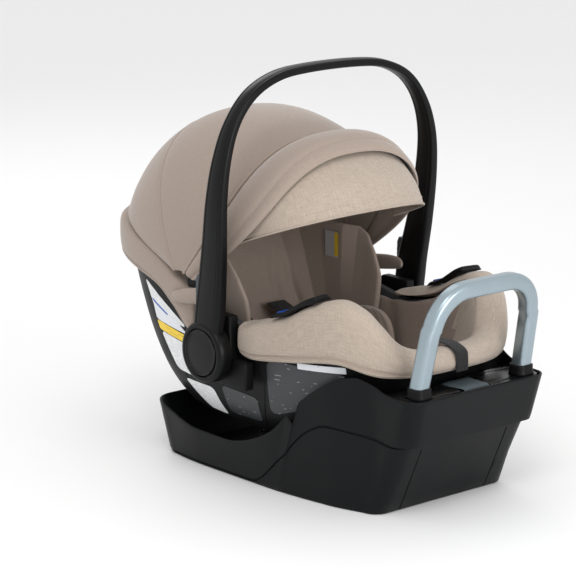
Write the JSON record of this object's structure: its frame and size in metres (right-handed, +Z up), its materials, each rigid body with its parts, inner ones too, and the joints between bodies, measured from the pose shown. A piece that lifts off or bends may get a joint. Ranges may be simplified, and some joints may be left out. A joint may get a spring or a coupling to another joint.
{
  "type": "infant car seat",
  "caption": "Rear-facing infant car seat: padded carrier with arched handle, folding canopy and visor, latched on a base with a rebound bar.",
  "frame": {"origin": "middle of the base's flat underside, on the floor", "axes": "+Z up, -Y towards the foot end and the rebound bar, +X to the seated child's right seen from the foot end; mirror-symmetric about X = 0"},
  "size_m": [0.4468, 0.7375, 0.6333],
  "materials": {
    "black_plastic": "fine-grained moulded black",
    "grey_plastic": "satin slate grey",
    "blue_plastic": "glossy blue",
    "red_plastic": "glossy red",
    "bar_metal": "satin pale blue-grey",
    "steel": "zinc-plated",
    "knit_fabric": "smooth taupe knit",
    "liner_fabric": "smooth dark taupe knit",
    "melange_fabric": "sand melange weave",
    "webbing": "black webbing",
    "foam": "moulded bead foam"
  },
  "bodies": {
    "base": {"base_shell": "black_plastic", "base_deck": "black_plastic", "bar_socket_left": "black_plastic", "bar_socket_right": "black_plastic", "anti_rebound_bar": "bar_metal", "latch_block_left": "black_plastic", "latch_block_right": "black_plastic", "foot_pin": "steel", "foot_lug_left": "black_plastic", "foot_lug_right": "black_plastic"},
    "latch": {"latch_shaft": "steel", "latch_hook_left": "steel", "latch_hook_right": "steel"},
    "paddle": {"release_paddle": "grey_plastic"},
    "foot": {"recline_foot": "grey_plastic"},
    "carrier": {"carrier_shell": "black_plastic", "foam_liner": "foam", "seat_liner": "liner_fabric", "seat_cover": "melange_fabric", "rear_cover": "knit_fabric", "head_insert": "knit_fabric", "body_insert": "knit_fabric", "belt_guide_left": "black_plastic", "belt_guide_right": "black_plastic", "guide_insert_left": "blue_plastic", "guide_insert_right": "blue_plastic", "harness_strap_left": "webbing", "harness_strap_right": "webbing", "crotch_strap": "webbing", "chest_clip": "black_plastic", "buckle_body": "black_plastic", "adjuster_strap": "webbing", "pivot_housing_left": "black_plastic", "pivot_housing_right": "black_plastic", "pivot_pin_left": "steel", "pivot_pin_right": "steel", "striker_front": "steel", "striker_rear": "steel", "canopy_mount_left": "black_plastic", "canopy_mount_right": "black_plastic", "canopy_dome": "knit_fabric", "canopy_skirt_left": "knit_fabric", "canopy_skirt_right": "knit_fabric"},
    "buckle_button": {"buckle_button": "red_plastic"},
    "lever": {"carrier_release_lever": "grey_plastic"},
    "handle": {"handle_arch": "black_plastic", "hub_cap_left": "black_plastic", "hub_cap_right": "black_plastic"},
    "handle_button_left": {"handle_button_left": "grey_plastic"},
    "handle_button_right": {"handle_button_right": "grey_plastic"},
    "canopy": {"canopy_brim": "knit_fabric"},
    "visor": {"visor": "melange_fabric"}
  },
  "joints": [
    {"name": "carrier_lift", "type": "slide", "parent": "base", "child": "carrier", "axis": [0, 0, 1], "range_m": [0, 0.25]},
    {"name": "handle_turn", "type": "hinge", "parent": "carrier", "child": "handle", "pos_m": [0, 0.024, 0.204], "axis": [1, 0, 0], "range_deg": [-100, 50]},
    {"name": "handle_button_left_press", "type": "slide", "parent": "handle", "child": "handle_button_left", "axis": [0, -1, 0], "range_m": [0, 0.004], "stiffness_N_per_m": 400},
    {"name": "handle_button_right_press", "type": "slide", "parent": "handle", "child": "handle_button_right", "axis": [0, -1, 0], "range_m": [0, 0.004], "stiffness_N_per_m": 400},
    {"name": "canopy_fold", "type": "hinge", "parent": "carrier", "child": "canopy", "pos_m": [0, 0.1, 0.3], "axis": [-1, 0, 0], "range_deg": [0, 70], "deforming": ["canopy_dome"]},
    {"name": "visor_flip", "type": "hinge", "parent": "canopy", "child": "visor", "pos_m": [0, -0.018, 0.392], "axis": [-1, 0, 0], "range_deg": [0, 25]},
    {"name": "buckle_button_press", "type": "slide", "parent": "carrier", "child": "buckle_button", "axis": [0, 0, -1], "range_m": [0, 0.003], "stiffness_N_per_m": 500},
    {"name": "lever_squeeze", "type": "hinge", "parent": "carrier", "child": "lever", "pos_m": [0, 0.3245, 0.258], "axis": [1, 0, 0], "range_deg": [0, 15], "stiffness_Nm_per_rad": 0.5},
    {"name": "paddle_press", "type": "hinge", "parent": "base", "child": "paddle", "pos_m": [0, -0.305, 0.1875], "axis": [1, 0, 0], "range_deg": [0, 8], "stiffness_Nm_per_rad": 0.5},
    {"name": "latch_turn", "type": "hinge", "parent": "base", "child": "latch", "pos_m": [0, -0.155, 0.034], "axis": [1, 0, 0], "range_deg": [0, 24]},
    {"name": "foot_flip", "type": "hinge", "parent": "base", "child": "foot", "pos_m": [0, -0.192, 0.008], "axis": [1, 0, 0], "range_deg": [0, 90]}
  ],
  "couplings": [
    {"joint": "latch_turn", "follows": "paddle_press", "ratio": 3}
  ]
}
